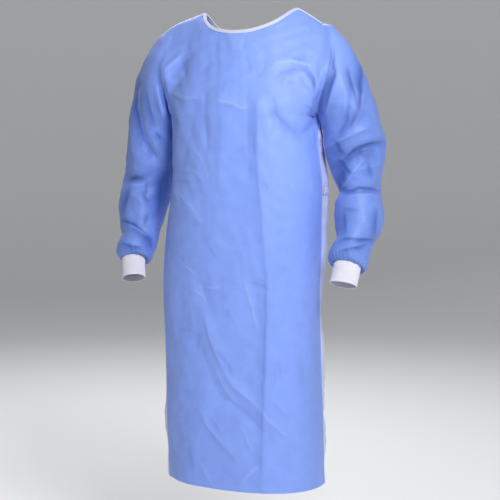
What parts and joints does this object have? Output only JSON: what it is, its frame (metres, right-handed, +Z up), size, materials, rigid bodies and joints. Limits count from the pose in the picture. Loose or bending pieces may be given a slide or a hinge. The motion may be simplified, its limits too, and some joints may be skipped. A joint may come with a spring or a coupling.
{
  "type": "surgical gown, worn form with no wearer",
  "caption": "Long blue surgical gown with long sleeves, white knit cuffs, a white neck binding and an overlapped tied back, filled out as it is worn.",
  "frame": {"origin": "on the shoulder line at the middle of the neck opening, where the wearer's shoulders hold the gown", "axes": "+Z up, -Y ahead of the wearer (the gown's front), +X towards the wearer's left"},
  "size_m": [0.6921, 0.3402, 1.1646],
  "materials": {
    "blue_cloth": "smooth nonwoven laminate with a soft sheen",
    "pale_cloth": "uncoated pale nonwoven, matte",
    "white_knit": "ribbed knit",
    "white_tape": "soft nonwoven tape"
  },
  "bodies": {
    "root": {"gown_front": "blue_cloth", "sleeve_left": "blue_cloth", "sleeve_right": "blue_cloth", "gown_back_left": "pale_cloth", "gown_back_right": "pale_cloth", "cuff_left": "white_knit", "cuff_right": "white_knit", "neck_binding": "white_tape", "neck_tab": "white_tape", "waist_tie_left": "white_tape", "waist_tie_right": "white_tape", "waist_knot": "white_tape"}
  },
  "joints": []
}
